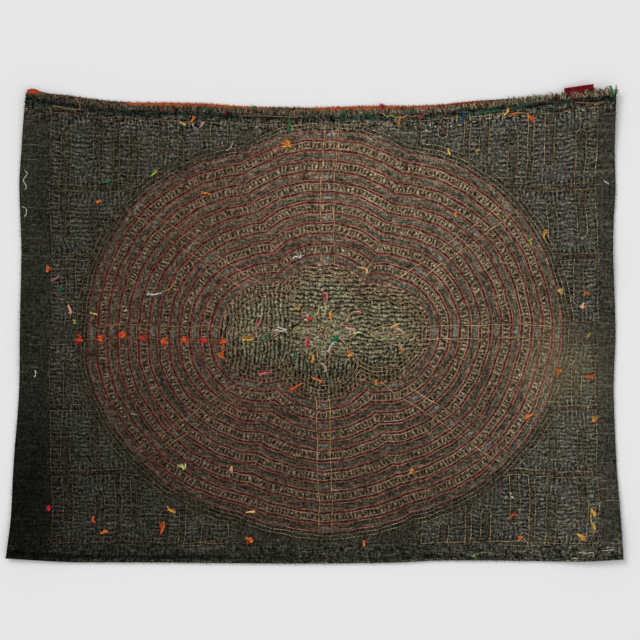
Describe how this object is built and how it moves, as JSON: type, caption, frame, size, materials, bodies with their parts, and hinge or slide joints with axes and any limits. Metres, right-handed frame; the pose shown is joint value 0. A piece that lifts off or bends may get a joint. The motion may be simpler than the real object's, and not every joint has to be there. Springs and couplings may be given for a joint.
{
  "type": "mola panel",
  "caption": "Hand-sewn layered cotton textile panel lying face down, its dark quilted back showing red and tan echo stitching, coloured thread ends and a frayed top edge.",
  "frame": {"origin": "middle of the panel's bounding box, on the surface that the panel lies on", "axes": "+X across the panel to its right, +Y up to its frayed top edge, +Z out of the stitched back that shows"},
  "size_m": [0.42, 0.3264, 0.008],
  "materials": {
    "back_cotton": "washed, faded dark green-grey plain weave, matt",
    "face_cotton": "orange to red plain weave, matt",
    "frayed_cotton": "loose tan and dark weaving threads, matt",
    "scrap_cotton": "crimson tape, matt",
    "red_thread": "dull red sewing cotton",
    "tan_thread": "faded tan sewing cotton",
    "green_thread": "bottle green sewing cotton",
    "bright_thread": "orange, yellow, red, pink, green and white sewing cotton ends"
  },
  "bodies": {
    "root": {"back_cloth": "back_cotton", "face_cloth": "face_cotton", "top_fray": "frayed_cotton", "red_scrap": "scrap_cotton"}
  },
  "joints": []
}
